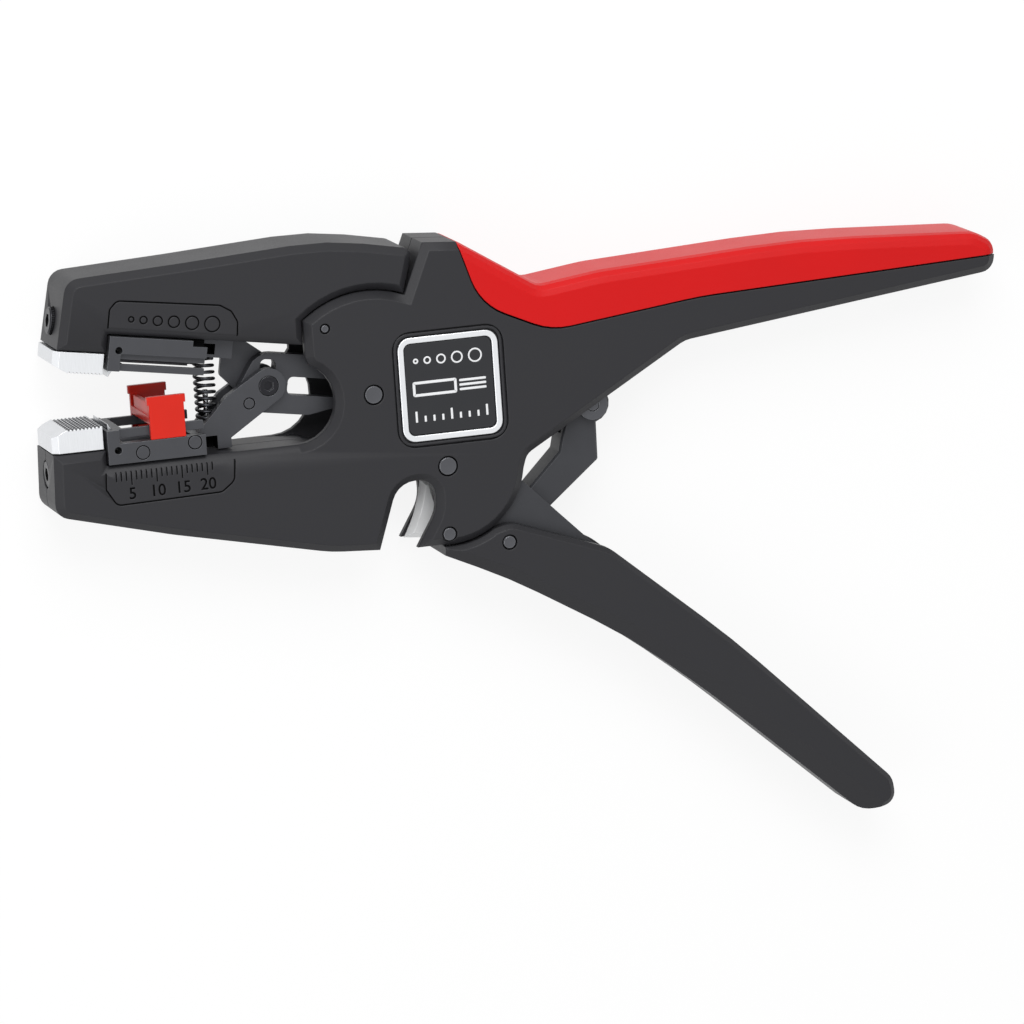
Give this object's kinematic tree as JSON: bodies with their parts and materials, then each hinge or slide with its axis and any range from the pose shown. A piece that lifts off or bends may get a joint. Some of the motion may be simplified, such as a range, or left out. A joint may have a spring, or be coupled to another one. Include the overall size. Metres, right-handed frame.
{
  "type": "automatic wire stripper",
  "caption": "Hand tool that clamps a wire between steel jaws and draws paired blade holders back with a lever linkage; adjustable length stop and a small wire cutter.",
  "frame": {"origin": "middle of the tool's outline on the flat back side that it lies on", "axes": "+X from the jaws to the handle ends, +Y from the lower jaw to the upper jaw, +Z through the thickness to the front side that carries the plate"},
  "size_m": [0.1952, 0.1268, 0.018],
  "materials": {
    "charcoal_plastic": "fine moulded grain, semi-matt",
    "soft_grip": "soft-touch, satin",
    "ground_steel": "ground and polished",
    "dark_steel": "blackened, satin",
    "red_plastic": "smooth moulded",
    "plate_field": "smooth, bare"
  },
  "bodies": {
    "root": {"housing_front": "charcoal_plastic", "housing_back": "charcoal_plastic", "soft_grip": "soft_grip", "lower_gripping_jaw": "ground_steel", "lower_jaw_screw": "dark_steel", "jaw_pivot_pin": "ground_steel", "lever_pivot_pin": "ground_steel", "cutter_pivot_pin": "ground_steel", "spring_anchor_pin": "ground_steel", "plate_frame": "ground_steel", "plate_field": "plate_field", "lever_spring": "dark_steel"},
    "upper_jaw": {"upper_jaw_body": "charcoal_plastic", "upper_gripping_jaw": "ground_steel", "upper_jaw_screw": "dark_steel"},
    "pull_rod": {"pull_rod": "dark_steel"},
    "upper_blade_holder": {"upper_blade_holder": "dark_steel", "upper_blade": "ground_steel"},
    "lower_blade_holder": {"lower_blade_holder": "dark_steel", "lower_blade": "ground_steel", "tongs_pin": "dark_steel", "holder_spring": "ground_steel", "spring_guide": "ground_steel"},
    "length_stop": {"length_stop": "red_plastic"},
    "lower_lever": {"lever_shell": "charcoal_plastic", "lever_core": "dark_steel", "strut_pin": "ground_steel"},
    "strut": {"strut": "dark_steel", "crosshead_pin": "ground_steel", "back_roller": "dark_steel", "front_roller": "dark_steel"},
    "cutter_blade": {"cutter_blade": "ground_steel"}
  },
  "joints": [
    {"name": "lever_hinge", "type": "hinge", "parent": "root", "child": "lower_lever", "pos_m": [-0.01857, 0.0166, 0], "axis": [0, 0, 1], "range_deg": [0, 46], "stiffness_Nm_per_rad": 0.25, "springref_deg": -22.92},
    {"name": "upper_jaw_hinge", "type": "hinge", "parent": "root", "child": "upper_jaw", "pos_m": [-0.03257, 0.0324, 0], "axis": [0, 0, 1], "range_deg": [0, 9.82]},
    {"name": "strut_hinge", "type": "hinge", "parent": "lower_lever", "child": "strut", "pos_m": [-0.00707, 0, 0], "axis": [0, 0, 1], "range_deg": [-59.41, 0]},
    {"name": "rod_slide", "type": "slide", "parent": "upper_jaw", "child": "pull_rod", "axis": [0.9869, -0.1616, 0], "range_m": [0, 0.01302]},
    {"name": "upper_holder_hinge", "type": "hinge", "parent": "pull_rod", "child": "upper_blade_holder", "pos_m": [-0.0524, 0.03565, 0], "axis": [0, 0, 1], "range_deg": [0, 0.305]},
    {"name": "lower_holder_slide", "type": "slide", "parent": "root", "child": "lower_blade_holder", "axis": [1, 0, 0], "range_m": [0, 0.01272], "deforming": ["holder_spring"]},
    {"name": "stop_slide", "type": "slide", "parent": "lower_blade_holder", "child": "length_stop", "axis": [1, 0, 0], "range_m": [-0.005, 0.005]},
    {"name": "cutter_hinge", "type": "hinge", "parent": "root", "child": "cutter_blade", "pos_m": [-0.01917, 0.003, 0], "axis": [0, 0, 1], "range_deg": [0, 28.05]}
  ],
  "couplings": [
    {"joint": "upper_jaw_hinge", "follows": "lever_hinge", "ratio": 0.21304},
    {"joint": "strut_hinge", "follows": "lever_hinge", "ratio": -1.2904},
    {"joint": "rod_slide", "follows": "lever_hinge", "m_per_rad": 0.016192},
    {"joint": "upper_holder_hinge", "follows": "lever_hinge", "ratio": 0.006522},
    {"joint": "lower_holder_slide", "follows": "lever_hinge", "m_per_rad": 0.015819},
    {"joint": "cutter_hinge", "follows": "lever_hinge", "ratio": 0.6087}
  ]
}
